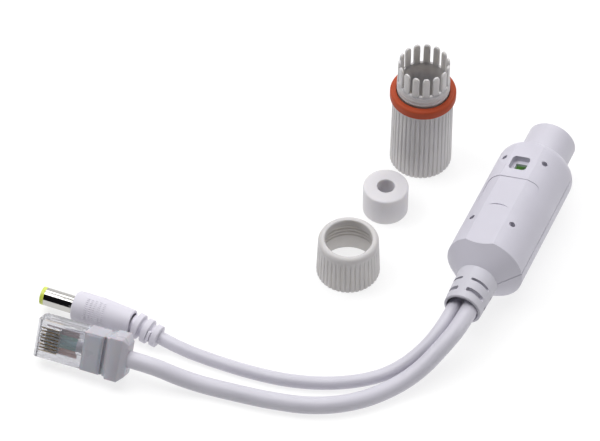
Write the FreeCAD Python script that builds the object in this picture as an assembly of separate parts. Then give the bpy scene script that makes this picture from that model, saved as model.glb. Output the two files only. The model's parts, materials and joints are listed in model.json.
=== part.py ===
import FreeCAD, Part
import math
import os

# Waterproof power-over-ethernet injector: a cylindrical body with an RJ45 socket at one end and
# two short cords at the other (a DC barrel plug and an RJ45 plug), with its loose cable gland kit
# standing beside it. Millimetres, +Z up, everything rests on the plane z = 0.
#
# "Body frame": origin on the shell's axis just outside its cable end, +Y along the shell towards
# the socket, +Z square to the flat on top. The body frame is rolled by BODY_ROLL and raised until
# the shell rests on the plane. Cords, plugs and the kit are placed from the point under its origin.

V = FreeCAD.Vector

# ---------------------------------------------------------------- driving dimensions
CLEARANCE = 0.05            # radial running or assembly clearance between rigid pieces
SOFT_GAP = 0.3              # gap round a soft ring that has to slide

# shell of the injector
SHELL_R = 12.0              # outer radius
SHELL_START = 1.0           # station of the cable-end face
SHELL_LENGTH = 50.9         # cable-end face to socket-end face
SHELL_WALL = 1.7
SHELL_NECK_R = 6.4          # radius of the cable-end face, at the small end of the 45 degree cone
SHELL_CORNER_R = 4.0        # rounding round the socket-end face
INNER_CORNER_R = 0.4        # least rounding inside
FLAT_HEIGHT = 11.15         # height of the flat on top above the axis
BODY_ROLL = 11.5            # degrees, the right-hand side is raised
NECK_LIP = 1.2              # width of the cable-end face round its hole
COLLAR_HOLE_GAP = 0.1       # radial gap between the groove of the collar and the socket-end wall
PARTING_DEPTH = 0.15        # fine groove where the two halves meet
PARTING_WIDTH = 0.3

# case pins, in four holes along the edges of the flat
PIN_R = 0.8
PIN_SPREAD = 6.5            # distance from the middle of the flat
PIN_FROM_CABLE_END = 15.5
PIN_FROM_SOCKET_END = 8.7
PIN_DEPTH = 1.3             # how far the pin heads lie below the surface
PIN_GRIP = 4.0              # how far a pin goes into the lower shell
BOSS_R = 1.75

# window pocket in the flat, with an opening that looks on to the board
POCKET_WIDTH = 5.7
POCKET_LENGTH = 5.5
POCKET_DEPTH = 2.0
POCKET_FROM_END = 11.1      # middle of the pocket to the socket-end face
POCKET_X = -0.6
POCKET_CORNER = 1.2
POCKET_BACKING = 1.0        # floor and walls of the pocket inside the shell
SIGHT_EDGE = 1.6            # opening to the near wall of the pocket
SIGHT_WIDTH = 3.5
SIGHT_LENGTH = 2.6

# bare label panel, sunk into the top at its far end and fading out towards the cable end
PANEL_DEPTH = 0.2
PANEL_NEAR_DEPTH = 0.03
PANEL_WIDTH = 16.6
PANEL_LENGTH = 11.4
PANEL_FROM_END = 17.3       # far edge of the panel to the socket-end face
PANEL_CORNER = 1.6

# crescent thumb notch before the panel
THUMB_R = 5.2
THUMB_DEPTH = 0.3
THUMB_FADE = 1.3            # length over which its floor runs out
THUMB_FROM_END = 29.0       # far edge of the notch to the socket-end face

# socket collar and jack
COLLAR_R = 7.65
COLLAR_LENGTH = 11.2        # how far the collar stands out of the shell
GROOVE_R = 7.1
GROOVE_WIDTH = 1.4
LUG_ANGLES = (80.0, 148.0)  # the groove is filled between these, and again half a turn on
LUG_SINK = 0.2              # top of a lug under the collar's outside
COLLAR_CHAMFER = 0.4
FLANGE_T = 1.6
JACK_WIDTH = 11.75          # opening for a standard 11.68 mm plug
JACK_HEIGHT = 6.75
JACK_DEPTH = 13.2
KEYWAY_WIDTH = 6.2
KEYWAY_DEPTH = 2.4
KEYWAY_BACK = 1.0           # floor of the jack to the end of the keyway
JACK_CENTRE_Z = -0.4
JACK_SIDE_WALL = 0.925
JACK_UNDER_WALL = 0.6
CARRIER_LENGTH = 4.7        # contact carrier, behind the floor of the jack
CARRIER_SIDE = 1.2          # side of the opening to side of the carrier
CARRIER_LOW = 1.0           # lower face of the opening to lower face of the carrier
CARRIER_HIGH = 0.6
CONTACT_COUNT = 8
CONTACT_PITCH = 1.02
CONTACT_WIRE_R = 0.22
CONTACT_SLOPE = 18.0        # degrees
CONTACT_FRONT = 2.6         # front ends of the contacts to the collar's end face
CONTACT_BACK = 0.9          # rear ends of the contacts to the floor of the jack
CONTACT_ROOF_GAP = 0.12

# circuit board
BOARD_TOP = 5.8
BOARD_T = 1.2
BOARD_EDGE_GAP = 1.0        # edge of the board to the inside of the shell
BOARD_START = 9.0           # station of the board's near end
BOARD_ON_BLOCK = 0.8        # how far the board reaches over the jack block

# parts on the board: (width, length, height) or (radius, height), and the place of each middle
TRANSFORMER = (9.4, 12.6, 6.2)
TRANSFORMER_FROM_BOARD_END = 12.0
CHOKE_R = 3.6
CHOKE_BORE_R = 1.5
CHOKE_HEIGHT = 4.2
CHOKE_PLACE = (1.4, 23.3)
INPUT_CAN = (2.2, 6.8)
INPUT_CAN_PLACE = (-2.2, 16.2)
OUTPUT_CAN = (2.0, 5.6)
OUTPUT_CAN_PLACE = (2.35, 16.0)
BRIDGE = (3.8, 5.0, 1.5)
BRIDGE_PLACE = (-5.2, 23.4)
CHIP = (3.9, 5.0, 1.5)
CHIP_PLACE = (-2.65, 26.5)
DIODE = (2.6, 4.6, 1.2)
DIODE_PLACE = (2.8, 27.3)
LED = (1.6, 0.8, 0.6)
LED_FROM_SIGHT = 0.9        # far edge of the sight opening to the middle of the LED

# strain relief
RELIEF_LENGTH = 12.3        # the part outside the shell
RELIEF_LIP = 0.75           # wall round the recess at its end
RELIEF_RECESS = 2.4
RELIEF_RECESS_GAP = 0.275   # side of the recess to the cords
RELIEF_RIM_R = 0.35
RELIEF_FLANGE_T = 1.4
SLOT_ROWS = ((4.95, 0.9), (9.05, 1.4))     # distance from the shell and width of each slot row
SLOT_ANGLE = 63.5
SLOT_TURN = 4.0             # the rows are turned this much
SLOT_BOTTOM_R = 4.6
SLOT_END_R = 0.4            # rounding of the ends of a slot

# cords
DC_CORD_R = 2.0
NET_CORD_R = 2.6
CORD_GAP = 0.35             # between the two cords, side by side in the strain relief
CORD_LIFT = 0.05            # under a cord that lies on the plane
CORD_TAIL = 3.5             # jacket left on each cord inside the shell
LEAD_R = 0.5
LEAD_STRAIGHT = 1.6
LEAD_RISE = 2.2             # last upright stretch of a lead, under the board
POWER_LEADS = ((-0.7, -6.2), (0.7, -4.4))   # offset in the cord, and where it lands on the board
POWER_LANDING = 11.2
DATA_LEAD_PITCH = 1.2
DATA_LANDING = 11.0
DATA_LANDING_SHIFT = -0.4

# DC barrel plug, 5.5 x 2.1 mm
BARREL_R = 2.75
SLEEVE_WALL = 0.45
BARREL_VISIBLE = 10.7
BARREL_SEATED = 5.0         # length inside the grip
SEAT_STEP = 0.2             # the seated length is this much thinner
TIP_RING_LENGTH = 1.2
CENTRE_BORE_R = 1.05
CENTRE_WALL = 0.2
CENTRE_START = 0.8          # tip of the barrel to the centre contact
CENTRE_FLOOR = 5.2          # the pin hole ends level with the front of the grip
GRIP_R = 4.8
GRIP_NECK_R = 3.9
GRIP_LENGTH = 18.6
GRIP_STRAIGHT = 8.4         # length before the grip narrows
GRIP_EDGE_R = 0.5
DC_TIP = (-118.8, -51.65)    # tip of the barrel, from the shell's cable end
DC_AZIMUTH = 2.5            # degrees from +X
DC_TAIL_TURN = -7.5         # degrees, the ribbed tail turns aside this much
DC_TAIL_DROOP = 8.0         # degrees, and droops this much
DC_TAIL_LENGTH = 9.4
DC_TAIL_RIBS = (4.0, 3.85, 3.5)
DC_RIB_GAP = 1.0
DC_RIB_EDGE_R = 0.5
DC_TAIL_WALL = 0.75         # rubber round the cord between the ribs

# RJ45 plug on the network cord
PLUG_WIDTH = 11.68
PLUG_HEIGHT = 6.6
PLUG_LENGTH = 21.5
PLUG_VISIBLE = 14.8
PLUG_ROLL = 58.0            # degrees, turns the contact face to the side
PLUG_AZIMUTH = 4.2
PLUG_NOSE = (-111.5, -67.55)
PLUG_NOSE_CHAMFER = 0.6
BLADE_START = 1.2
BLADE_LENGTH = 5.9
BLADE_T = 0.34
BLADE_HEIGHT = 3.0
BLADE_SINK = 0.45           # top of a blade under the contact face
WIRE_R = 0.47
WIRE_START = 2.4
WIRE_END = 12.6
CHANNEL_HEIGHT = 1.1
LATCH_WIDTH = 6.0
LATCH_T = 1.0
LATCH_LENGTH = 12.0
LATCH_ROOT = 1.9
LATCH_SINK = 0.75           # root of the latch inside the face of the plug
LATCH_GAP = 0.4
LATCH_RISE = 14.0           # degrees at rest
LATCH_WELL = 0.9            # depth of the well that takes the pressed latch
LATCH_WELL_START = 1.6
LATCH_WELL_SPARE = 2.5      # well beyond the latch's own length
BOOT_WIDTH = 13.3
BOOT_HEIGHT = 8.4
BOOT_LENGTH = 13.6
BOOT_TAPER = 1.6

# loose gland kit: shell, seal ring, rubber plug and nut
GLAND_BARREL = 27.1         # height of the fluted barrel
GLAND_WALL = 1.7
GLAND_TAPER = 0.3           # the barrel narrows this much towards its top
GLAND_SHOULDER = 1.4        # width of the step on which the ring sits
GLAND_DECK = 3.0            # thickness of the step between the wide bore and the neck bore
GLAND_HEIGHT = 42.1
COLLAR_FIT = 0.3            # radial gap of the wide bore over the collar
FINGER_WALL = 0.9
FINGER_ROOT = 34.65         # height where the collet slots end
FINGER_COUNT = 15
FINGER_SLOT = 1.0
FINGER_TURN = 9.6           # degrees, middle of a finger from +X
TIP_CHAMFER = 0.4
THREAD_RISE = 0.2
THREAD_PITCH = 1.4
THREAD_STEP = 0.35          # flank and half crest of a thread, along the axis
THREAD_TURNS = 3
THREAD_FIT = 0.15
FLUTE_COUNT = 40
FLUTE_R = 0.3
FLUTE_STOP = 0.8            # plain band above the flutes
RING_WIDTH = 1.75
RING_T = 3.2
RUBBER_R = 7.0
RUBBER_HEIGHT = 10.1
RUBBER_BORE_R = 2.68
SOFT_CHAMFER = 0.4
NUT_WALL = 1.1
NUT_TAPER = 0.5
NUT_HEIGHT = 14.2
NUT_MOUTH_LIP = 0.85        # the mouth is this much smaller than the fingers
NUT_LIP = 2.2
NUT_ROUND = 1.4
NUT_CHAMFER = 0.5
KIT_GLAND = (-38.8, 50.9)
KIT_RUBBER = (-40.4, 26.4)
KIT_NUT = (-41.0, -1.1)

# route of each cord outside the strain relief, chosen by hand, from the shell's cable end; a
# straight lead out of the strain relief comes before it, and one into the plug after it
DC_LEADS = (7.7, 6.9)
NET_LEADS = (8.1, 7.8)
DC_LIE = DC_CORD_R + CORD_LIFT
NET_LIE = NET_CORD_R + CORD_LIFT
DC_ROUTE = (
    (-4.9, -24.4, 8.3), (-9.0, -30.9, 4.6), (-14.2, -36.5, DC_LIE + 0.25),
    (-20.9, -41.9, DC_LIE), (-29.5, -46.6, DC_LIE), (-40.5, -50.0, DC_LIE),
    (-52.0, -51.4, DC_LIE), (-64.0, -51.8, DC_LIE),
)
NET_ROUTE = (
    (-0.6, -25.5, 9.6), (-4.5, -33.2, 5.3), (-10.0, -40.6, NET_LIE + 0.1),
    (-17.6, -49.4, NET_LIE), (-28.5, -56.0, NET_LIE), (-41.3, -59.1, NET_LIE),
    (-51.4, -60.5, NET_LIE), (-60.6, -61.7, NET_LIE + 0.05), (-68.5, -63.5, 4.9),
)

# ---------------------------------------------------------------- values that follow
AXIS_HEIGHT = SHELL_R
SHELL_END = SHELL_START + SHELL_LENGTH
COLLAR_END = SHELL_END + COLLAR_LENGTH
COLLAR_HOLE_R = GROOVE_R + COLLAR_HOLE_GAP
FLANGE_R = SHELL_R - max(SHELL_CORNER_R, SHELL_WALL + INNER_CORNER_R) - CLEARANCE
JACK_FLOOR = COLLAR_END - JACK_DEPTH
JACK_BLOCK_BACK = JACK_FLOOR - CARRIER_LENGTH
PIN_STATIONS = (SHELL_START + PIN_FROM_CABLE_END, SHELL_END - PIN_FROM_SOCKET_END)
POCKET_Y = SHELL_END - POCKET_FROM_END
BOARD_BOTTOM = BOARD_TOP - BOARD_T
BOARD_END = JACK_BLOCK_BACK + BOARD_ON_BLOCK
BOARD_HALF = math.sqrt((SHELL_R - SHELL_WALL) ** 2 - BOARD_TOP ** 2) - BOARD_EDGE_GAP
RELIEF_END = SHELL_START - RELIEF_LENGTH
RELIEF_HOLE_R = SHELL_NECK_R - NECK_LIP
RELIEF_BASE_R = SHELL_NECK_R - CLEARANCE
RELIEF_RECESS_R = DC_CORD_R + NET_CORD_R + CORD_GAP / 2 + RELIEF_RECESS_GAP
RELIEF_END_R = RELIEF_RECESS_R + RELIEF_LIP
DC_CORD_X = -NET_CORD_R - CORD_GAP / 2
NET_CORD_X = DC_CORD_R + CORD_GAP / 2
SLEEVE_BORE_R = BARREL_R - SLEEVE_WALL
SEAT_R = BARREL_R - SEAT_STEP
CENTRE_R = CENTRE_BORE_R + CENTRE_WALL
PLUG_AXIS_Z = (BOOT_WIDTH * math.sin(math.radians(PLUG_ROLL))
               + BOOT_HEIGHT * math.cos(math.radians(PLUG_ROLL))) / 2
WIDE_BORE_R = COLLAR_R + COLLAR_FIT
NECK_BORE_R = RUBBER_R + CLEARANCE
NECK_R = NECK_BORE_R + FINGER_WALL
GLAND_TOP_R = max(NECK_R + GLAND_SHOULDER, WIDE_BORE_R + GLAND_WALL - GLAND_TAPER)
GLAND_BASE_R = GLAND_TOP_R + GLAND_TAPER
RING_BORE_R = NECK_R + THREAD_RISE + SOFT_GAP
RING_R = RING_BORE_R + RING_WIDTH
NUT_THREAD_R = NECK_R + THREAD_RISE + THREAD_FIT
NUT_ROOT_R = NUT_THREAD_R + 2 * THREAD_FIT
NUT_BASE_R = NUT_ROOT_R + NUT_WALL
NUT_TOP_R = NUT_BASE_R - NUT_TAPER
NUT_MOUTH_R = NECK_R - NUT_MOUTH_LIP
BIG = 200.0                 # larger than the whole object

# the origin is the middle of the footprint of the injector and the kit
KIT_LEFT = min(KIT_GLAND[0] - RING_R, KIT_RUBBER[0] - RUBBER_R, KIT_NUT[0] - NUT_BASE_R)
KIT_FAR = max(KIT_GLAND[1] + RING_R, COLLAR_END)
KIT_NEAR = min(KIT_NUT[1] - NUT_BASE_R, RELIEF_END)
TO_ORIGIN = V(-(KIT_LEFT + SHELL_R) / 2, -(KIT_FAR + KIT_NEAR) / 2, 0)

nodes = {}


# ---------------------------------------------------------------- helpers
def box(x0, x1, y0, y1, z0, z1):
    """Box between two corners."""
    return Part.makeBox(x1 - x0, y1 - y0, z1 - z0, V(x0, y0, z0))


def rod(radius, start, end):
    """Round bar between two points."""
    a, b = V(*start), V(*end)
    return Part.makeCylinder(radius, (b - a).Length, a, b - a)


def cone(r0, r1, start, end):
    """Tapered round bar between two points."""
    a, b = V(*start), V(*end)
    if abs(r0 - r1) < 1e-6:
        return rod(r0, start, end)
    return Part.makeCone(r0, r1, (b - a).Length, a, b - a)


def turned(profile, axis):
    """Solid of revolution of (station, radius) points about the Y or the Z axis."""
    along = {"y": V(0, 1, 0), "z": V(0, 0, 1)}[axis]
    out = V(1, 0, 0)
    points = [along * s + out * r for s, r in profile]
    face = Part.Face(Part.makePolygon(points + [points[0]]))
    return face.revolve(V(0, 0, 0), along, 360)


def sector(r_in, r_out, y0, y1, a0, a1):
    """Part of a ring about the Y axis, from angle a0 to a1, 0 at +X and 90 at +Z."""
    mid = V(0, y0, 0)

    def at(radius, angle):
        t = math.radians(angle)
        return mid + V(radius * math.cos(t), 0, radius * math.sin(t))

    half = (a0 + a1) / 2
    edges = [
        Part.Arc(at(r_out, a0), at(r_out, half), at(r_out, a1)).toShape(),
        Part.LineSegment(at(r_out, a1), at(r_in, a1)).toShape(),
        Part.Arc(at(r_in, a1), at(r_in, half), at(r_in, a0)).toShape(),
        Part.LineSegment(at(r_in, a0), at(r_out, a0)).toShape(),
    ]
    return Part.Face(Part.Wire(edges)).extrude(V(0, y1 - y0, 0))


def rounded_box(x0, x1, y0, y1, z0, z1, radius):
    """Box with its four upright edges rounded."""
    shape = box(x0, x1, y0, y1, z0, z1)
    upright = [e for e in shape.Edges if abs(e.tangentAt(e.FirstParameter).z) > 0.99]
    return shape.makeFillet(radius, upright)


def smooth_path(points):
    """Straight runs joined by tangent arcs, and the radius of each arc."""
    pts = [V(*p) for p in points]
    edges, radii = [], []
    last = pts[0]
    for before, corner, after in zip(pts, pts[1:], pts[2:]):
        a, b = before - corner, after - corner
        reach = 0.45 * min(a.Length, b.Length)
        turn = math.pi - a.getAngle(b)
        start = corner + a.normalize() * reach
        end = corner + b.normalize() * reach
        radii.append(reach / math.tan(turn / 2))
        toward = (start + end) * 0.5 - corner
        hub = corner + toward.normalize() * math.hypot(reach, radii[-1])
        middle = hub + (corner - hub).normalize() * radii[-1]
        edges.append(Part.LineSegment(last, start).toShape())
        edges.append(Part.Arc(start, middle, end).toShape())
        last = end
    edges.append(Part.LineSegment(last, pts[-1]).toShape())
    return Part.Wire(edges), radii


def tube(points, radius, name):
    """Round cord along a route, with a print of its length and its arcs."""
    path, radii = smooth_path(points)
    first, second = V(*points[0]), V(*points[1])
    ring = Part.Wire(Part.makeCircle(radius, first, second - first))
    solid = path.makePipeShell([ring], True, False)
    expected = math.pi * radius ** 2 * path.Length
    print(f"{name}: length {path.Length:.1f}, volume ratio {solid.Volume / expected:.4f}, "
          f"radii {[round(r, 1) for r in radii]}")
    return Part.Solid(solid) if solid.ShapeType != "Solid" else solid


def in_body(shape):
    """From the body frame to the resting place of the body."""
    shape = shape.copy()
    shape.rotate(V(0, 0, 0), V(0, 1, 0), -BODY_ROLL)
    shape.translate(V(0, 0, AXIS_HEIGHT))
    return shape


def body_point(x, y, z):
    """A point of the body frame where the body rests."""
    t = math.radians(BODY_ROLL)
    return (x * math.cos(t) - z * math.sin(t), y, x * math.sin(t) + z * math.cos(t) + AXIS_HEIGHT)


def upright(shape, place):
    """From a kit piece's own axis to its place on the plane."""
    shape = shape.copy()
    shape.translate(V(place[0], place[1], 0))
    return shape


def one_solid(shape):
    """The shape without leftover seams."""
    return shape.removeSplitter()


def group(solids):
    return Part.makeCompound(solids)


def keep(name, shape):
    nodes[name] = shape


# ---------------------------------------------------------------- shell
def inner_neck_r(offset):
    """Radius at the small end of the cone, drawn in by an offset."""
    return SHELL_NECK_R - offset * (math.sqrt(2) - 1)


def shell_outside(offset):
    """Outside of the closed shell, drawn in by an offset."""
    radius = SHELL_R - offset
    start = SHELL_START + offset
    round_r = max(SHELL_CORNER_R - offset, INNER_CORNER_R)
    end = SHELL_END - offset
    small = inner_neck_r(offset)
    steps = 6
    arc = []
    for i in range(steps + 1):
        t = math.radians(90.0 * i / steps)
        arc.append((end - round_r + round_r * math.sin(t), radius - round_r + round_r * math.cos(t)))
    profile = [(start, 0), (start, small), (start + radius - small, radius)] + arc + [(end, 0)]
    solid = turned(profile, "y")
    top = FLAT_HEIGHT - offset
    return solid.cut(box(-BIG, BIG, -BIG, BIG, top, BIG))


def pin_places():
    return [(side * PIN_SPREAD, y) for y in PIN_STATIONS for side in (-1, 1)]


def panel_cutter():
    """Everything above the floor of the label panel, which slopes up to the surface."""
    far = SHELL_END - PANEL_FROM_END
    near = far - PANEL_LENGTH
    half = PANEL_WIDTH / 2
    fall = math.atan((PANEL_DEPTH - PANEL_NEAR_DEPTH) / PANEL_LENGTH)
    floor = cone(SHELL_R - PANEL_NEAR_DEPTH, SHELL_R - PANEL_DEPTH, (0, near, 0), (0, far, 0))
    above = box(-BIG, BIG, -BIG, BIG, 0, BIG)
    above.rotate(V(0, 0, 0), V(1, 0, 0), -math.degrees(fall))
    above.translate(V(0, near, FLAT_HEIGHT - PANEL_NEAR_DEPTH))
    outline = rounded_box(-half, half, near, far, SHELL_R / 2, SHELL_R + 1, PANEL_CORNER)
    return outline.cut(floor.cut(above))


def thumb_cutter():
    """A round notch whose floor runs out towards the cable end."""
    far = SHELL_END - THUMB_FROM_END
    disc = rod(THUMB_R, (0, far - THUMB_R, FLAT_HEIGHT - 1), (0, far - THUMB_R, FLAT_HEIGHT + 1))
    above = box(-BIG, BIG, -BIG, BIG, 0, BIG)
    above.rotate(V(0, 0, 0), V(1, 0, 0), -math.degrees(math.atan(THUMB_DEPTH / THUMB_FADE)))
    above.translate(V(0, far - THUMB_FADE, FLAT_HEIGHT))
    return disc.common(above)


def make_shells():
    """Two half shells that meet on the axis plane, with bosses for four pins."""
    outside = shell_outside(0)
    inside = shell_outside(SHELL_WALL)
    hollow = outside.cut(inside)
    bosses = [rod(BOSS_R, (x, y, -BIG / 4), (x, y, BIG / 4)) for x, y in pin_places()]
    hollow = hollow.fuse([b.common(inside) for b in bosses])
    hollow = hollow.cut(rod(RELIEF_HOLE_R, (0, SHELL_START - 1, 0),
                            (0, SHELL_START + SHELL_WALL + 1, 0)))
    hollow = hollow.cut(rod(COLLAR_HOLE_R, (0, SHELL_END - 2 * SHELL_WALL, 0),
                            (0, SHELL_END + 1, 0)))
    seam = box(-BIG, BIG, -BIG, BIG, -PARTING_WIDTH / 2, PARTING_WIDTH / 2)
    hollow = hollow.cut(seam.cut(shell_outside(PARTING_DEPTH)))
    for x, y in pin_places():
        hollow = hollow.cut(rod(PIN_R + CLEARANCE, (x, y, -PIN_GRIP), (x, y, BIG)))

    upper = hollow.common(box(-BIG, BIG, -BIG, BIG, 0, BIG))
    lower = hollow.common(box(-BIG, BIG, -BIG, BIG, -BIG, 0))

    x0, x1 = POCKET_X - POCKET_WIDTH / 2, POCKET_X + POCKET_WIDTH / 2
    y0, y1 = POCKET_Y - POCKET_LENGTH / 2, POCKET_Y + POCKET_LENGTH / 2
    floor = FLAT_HEIGHT - POCKET_DEPTH
    inner_top = FLAT_HEIGHT - SHELL_WALL
    skin = POCKET_BACKING
    backing = box(x0 - skin, x1 + skin, y0 - skin, y1 + skin, floor - skin, inner_top)
    upper = upper.fuse(backing)
    upper = upper.cut(rounded_box(x0, x1, y0, y1, floor, BIG, POCKET_CORNER))
    sight_x = POCKET_X - SIGHT_WIDTH / 2
    sight_y = y0 + SIGHT_EDGE
    upper = upper.cut(box(sight_x, sight_x + SIGHT_WIDTH, sight_y, sight_y + SIGHT_LENGTH, 0, BIG))
    upper = upper.cut([panel_cutter(), thumb_cutter()])
    keep("upper_shell", in_body(one_solid(upper)))
    keep("lower_shell", in_body(one_solid(lower)))


def surface_height(x):
    """Height of the outside of the shell above the axis, at x from the middle."""
    return min(FLAT_HEIGHT, math.sqrt(SHELL_R ** 2 - x ** 2))


def make_pins():
    top = surface_height(PIN_SPREAD + PIN_R) - PIN_DEPTH
    keep("case_pins", in_body(group([rod(PIN_R, (x, y, -PIN_GRIP), (x, y, top))
                                     for x, y in pin_places()])))


# ---------------------------------------------------------------- socket
def make_socket():
    """Collar, flange and jack block in one moulding, with the plug opening through it."""
    inner_face = SHELL_END - SHELL_WALL
    flange_back = inner_face - FLANGE_T
    body = rod(GROOVE_R, (0, flange_back, 0), (0, COLLAR_END, 0))
    ring = rod(COLLAR_R, (0, SHELL_END + GROOVE_WIDTH, 0), (0, COLLAR_END, 0))
    edge = [e for e in ring.Edges if abs(e.CenterOfMass.y - COLLAR_END) < 1e-3]
    ring = ring.makeChamfer(COLLAR_CHAMFER, edge)
    body = body.fuse(ring)
    body = body.fuse(rod(FLANGE_R, (0, flange_back, 0), (0, inner_face, 0)))
    body = body.cut(box(-BIG, BIG, -BIG, inner_face, FLAT_HEIGHT - SHELL_WALL - CLEARANCE, BIG))
    lug_r = (GROOVE_R + JACK_WIDTH / 2) / 2
    for turn in (0, 180):
        body = body.fuse(sector(lug_r, COLLAR_R - LUG_SINK, SHELL_END, SHELL_END + GROOVE_WIDTH,
                                LUG_ANGLES[0] + turn, LUG_ANGLES[1] + turn))

    wide = JACK_WIDTH / 2
    low = JACK_CENTRE_Z - JACK_HEIGHT / 2
    high = JACK_CENTRE_Z + JACK_HEIGHT / 2
    block_half = wide + JACK_SIDE_WALL
    block_low = low - KEYWAY_DEPTH - JACK_UNDER_WALL
    body = body.fuse(box(-block_half, block_half, JACK_BLOCK_BACK, flange_back,
                         block_low, BOARD_BOTTOM))
    body = body.cut(box(-wide, wide, JACK_FLOOR, BIG, low, high))
    key = KEYWAY_WIDTH / 2
    body = body.cut(box(-key, key, JACK_FLOOR + KEYWAY_BACK, BIG, low - KEYWAY_DEPTH, low + 1))

    side = wide - CARRIER_SIDE
    seat = (JACK_BLOCK_BACK, JACK_FLOOR, low + CARRIER_LOW, high - CARRIER_HIGH)
    body = body.cut(box(-side, side, seat[0] - 1, seat[1] + 1, seat[2], seat[3]))
    keep("socket_collar", in_body(one_solid(body)))

    side -= CLEARANCE
    keep("contact_carrier", in_body(box(-side, side, seat[0], seat[1],
                                        seat[2] + CLEARANCE, seat[3] - CLEARANCE)))


def contact_positions():
    first = -(CONTACT_COUNT - 1) / 2 * CONTACT_PITCH
    return [first + i * CONTACT_PITCH for i in range(CONTACT_COUNT)]


def make_socket_contacts():
    """Eight spring wires that slope into the opening from a hinge line under its roof."""
    top = JACK_CENTRE_Z + JACK_HEIGHT / 2 - CONTACT_WIRE_R - CONTACT_ROOF_GAP
    front = COLLAR_END - CONTACT_FRONT
    back = JACK_FLOOR + CONTACT_BACK
    drop = (front - back) * math.tan(math.radians(CONTACT_SLOPE))
    wires = []
    for x in contact_positions():
        wires.append(rod(CONTACT_WIRE_R, (x, front, top), (x, back, top - drop)))
    keep("socket_contacts", in_body(group(wires)))


# ---------------------------------------------------------------- electronics
def make_board():
    board = box(-BOARD_HALF, BOARD_HALF, BOARD_START, BOARD_END, BOARD_BOTTOM, BOARD_TOP)
    for x, y in pin_places():
        board = board.cut(rod(BOSS_R + 2 * CLEARANCE, (x, y, 0), (x, y, BIG)))
    keep("circuit_board", in_body(board))


def block(size, place, low):
    """A component with its middle at a place and its lower face at a height."""
    width, length, height = size
    x, y = place
    return in_body(box(x - width / 2, x + width / 2, y - length / 2, y + length / 2,
                       low, low + height))


def can(size, place):
    """A round component that hangs under the board."""
    radius, height = size
    x, y = place
    return in_body(rod(radius, (x, y, BOARD_BOTTOM - height), (x, y, BOARD_BOTTOM)))


def make_components():
    middle = (0, BOARD_END - TRANSFORMER_FROM_BOARD_END)
    keep("isolation_transformer", block(TRANSFORMER, middle, BOARD_BOTTOM - TRANSFORMER[2]))
    choke = can((CHOKE_R, CHOKE_HEIGHT), CHOKE_PLACE)
    keep("power_inductor", choke.cut(can((CHOKE_BORE_R, CHOKE_HEIGHT), CHOKE_PLACE)))
    keep("input_capacitor", can(INPUT_CAN, INPUT_CAN_PLACE))
    keep("output_capacitor", can(OUTPUT_CAN, OUTPUT_CAN_PLACE))
    keep("bridge_rectifier", block(BRIDGE, BRIDGE_PLACE, BOARD_BOTTOM - BRIDGE[2]))
    keep("converter_chip", block(CHIP, CHIP_PLACE, BOARD_TOP))
    keep("rectifier_diode", block(DIODE, DIODE_PLACE, BOARD_TOP))
    led_y = POCKET_Y - POCKET_LENGTH / 2 + SIGHT_EDGE + SIGHT_LENGTH + LED_FROM_SIGHT
    keep("status_led", block(LED, (POCKET_X, led_y), BOARD_TOP))


# ---------------------------------------------------------------- strain relief and cord tails
def make_relief():
    """Slotted rubber sleeve: flange inside the shell, waist in its hole, sleeve outside."""
    outside = cone(RELIEF_END_R, RELIEF_BASE_R, (0, RELIEF_END, 0), (0, SHELL_START, 0))
    rim = [e for e in outside.Edges if abs(e.CenterOfMass.y - RELIEF_END) < 1e-3]
    outside = outside.makeFillet(RELIEF_RIM_R, rim)
    inner_face = SHELL_START + SHELL_WALL
    body = outside.fuse(rod(RELIEF_HOLE_R - CLEARANCE, (0, SHELL_START - 1, 0), (0, inner_face, 0)))
    seat_r = inner_neck_r(SHELL_WALL) - CLEARANCE
    body = body.fuse(cone(seat_r, seat_r + RELIEF_FLANGE_T, (0, inner_face, 0),
                          (0, inner_face + RELIEF_FLANGE_T, 0)))
    body = body.cut(rod(RELIEF_RECESS_R, (0, RELIEF_END - 1, 0),
                        (0, RELIEF_END + RELIEF_RECESS, 0)))
    for distance, width in SLOT_ROWS:
        station = SHELL_START - distance
        for quarter in range(4):
            middle = SLOT_TURN + 45.0 + 90.0 * quarter
            slot = sector(SLOT_BOTTOM_R, RELIEF_BASE_R + 1, station - width / 2,
                          station + width / 2, middle - SLOT_ANGLE / 2, middle + SLOT_ANGLE / 2)
            ends = [e for e in slot.Edges if e.Curve.TypeId == "Part::GeomLine"
                    and abs(e.tangentAt(e.FirstParameter).y) < 0.01]
            body = body.cut(slot.makeFillet(SLOT_END_R, ends))
    keep("strain_relief", in_body(one_solid(body)))


def make_tails():
    """The end of each jacket inside the shell, and the leads that go up to the board."""
    start = SHELL_START + SHELL_WALL + RELIEF_FLANGE_T
    for name, x, radius in (("dc_cord_tail", DC_CORD_X, DC_CORD_R),
                            ("network_cord_tail", NET_CORD_X, NET_CORD_R)):
        keep(name, in_body(rod(radius, (x, start, 0), (x, start + CORD_TAIL, 0))))

    end = start + CORD_TAIL
    rise = BOARD_BOTTOM

    def lead(x, land_x, land_y):
        points = [(x, end, 0), (x, end + LEAD_STRAIGHT, 0), (land_x, land_y, rise - LEAD_RISE),
                  (land_x, land_y, rise)]
        path, _ = smooth_path(points)
        ring = Part.Wire(Part.makeCircle(LEAD_R, V(*points[0]), V(0, 1, 0)))
        return path.makePipeShell([ring], True, False)

    power = [lead(DC_CORD_X + offset, land, POWER_LANDING) for offset, land in POWER_LEADS]
    data = []
    for i in range(4):
        x = NET_CORD_X + (i - 1.5) * DATA_LEAD_PITCH
        data.append(lead(x, x + DATA_LANDING_SHIFT, DATA_LANDING))
    keep("power_leads", in_body(group(power)))
    keep("data_leads", in_body(group(data)))


# ---------------------------------------------------------------- cords
def cord_start(x):
    """Where a cord leaves the floor of the recess in the strain relief."""
    return body_point(x, RELIEF_END + RELIEF_RECESS, 0)


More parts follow.
